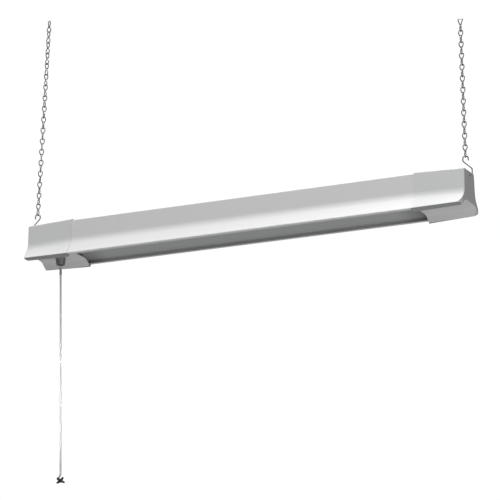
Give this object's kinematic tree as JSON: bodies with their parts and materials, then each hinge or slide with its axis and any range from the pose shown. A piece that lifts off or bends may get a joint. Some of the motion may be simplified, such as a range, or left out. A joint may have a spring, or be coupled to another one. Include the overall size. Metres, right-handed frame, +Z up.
{
  "type": "hanging shop light",
  "caption": "Long hanging shop light: folded steel channel with flared wings and recessed lens, moulded end caps, wire hooks on jack chains, and a pull-cord switch.",
  "frame": {"origin": "on the straight line through the upper pivots of both chains, above the middle of the lamp's length, on its centre plane", "axes": "+X along the lamp towards the end without the switch, +Z up, +Y away from the side that faces the viewer"},
  "size_m": [0.9288, 0.1036, 0.9495],
  "materials": {
    "painted_steel": "semi-gloss white powder coat",
    "lens_acrylic": "frosted acrylic",
    "cap_plastic": "fine matt white moulding",
    "zinc_steel": "bright zinc plate",
    "galvanised_steel": "galvanised",
    "zinc_wire": "bright zinc-plated wire",
    "board_white": "white solder mask",
    "phosphor": "yellow phosphor in white packages",
    "connector_plastic": "natural nylon",
    "circuit_green": "green solder mask",
    "component_black": "moulded parts and sleeves",
    "lead_black": "insulated lead",
    "lead_white": "insulated lead",
    "bushing_plastic": "black nylon",
    "switch_black": "black moulding",
    "switch_metal": "dark nickel plate",
    "spring_steel": "spring steel",
    "cord_cotton": "light grey braided cord",
    "knob_plastic": "black moulding"
  },
  "bodies": {
    "ceiling_links": {"top_link_left": "zinc_wire", "top_link_right": "zinc_wire"},
    "hanger": {"chain_left": "zinc_wire", "chain_right": "zinc_wire", "hook_left": "zinc_wire", "hook_right": "zinc_wire"},
    "pull_rod": {"switch_rod": "switch_metal"},
    "cord": {"cord_ferrule": "switch_metal", "pull_cord": "cord_cotton", "pull_knob": "knob_plastic"},
    "lamp": {"board_connectors": "connector_plastic", "board_jumpers": "lead_black", "board_screws": "zinc_steel", "cap_screws_left": "zinc_steel", "cap_screws_right": "zinc_steel", "diffuser": "lens_acrylic", "driver_board": "circuit_green", "driver_case": "galvanised_steel", "driver_lid": "galvanised_steel", "driver_parts": "component_black", "driver_screws": "zinc_steel", "end_cap_left": "cap_plastic", "end_cap_right": "cap_plastic", "gear_tray": "painted_steel", "hanger_strap_left": "galvanised_steel", "hanger_strap_right": "galvanised_steel", "housing": "painted_steel", "inlet_bushing": "bushing_plastic", "led_board_left": "board_white", "led_board_right": "board_white", "led_chips_left": "phosphor", "led_chips_right": "phosphor", "light_leads": "lead_white", "strap_rivets": "zinc_steel", "supply_leads": "lead_white", "switch_body": "switch_black", "switch_collar": "switch_metal", "switch_leads": "lead_black", "switch_nut": "zinc_steel", "switch_spring": "spring_steel", "terminal_block": "connector_plastic", "tray_posts": "zinc_steel", "tray_screws": "zinc_steel"}
  },
  "joints": [
    {"name": "swing", "type": "hinge", "parent": "ceiling_links", "child": "hanger", "pos_m": [-0.42704, 0, 0.06403], "axis": [0.9889, 0, -0.1483], "range_deg": [-25, 25]},
    {"name": "lamp_rock", "type": "hinge", "parent": "hanger", "child": "lamp", "pos_m": [0, 0, -0.35217], "axis": [1, 0, 0], "range_deg": [-20, 20]},
    {"name": "switch_pull", "type": "slide", "parent": "lamp", "child": "pull_rod", "axis": [0, 0, -1], "range_m": [0, 0.008], "stiffness_N_per_m": 450, "springref_m": -0.004, "deforming": ["switch_spring"]},
    {"name": "cord_swing", "type": "hinge", "parent": "pull_rod", "child": "cord", "pos_m": [-0.3995, 0, -0.43127], "axis": [1, 0, 0], "range_deg": [-40, 40]}
  ]
}
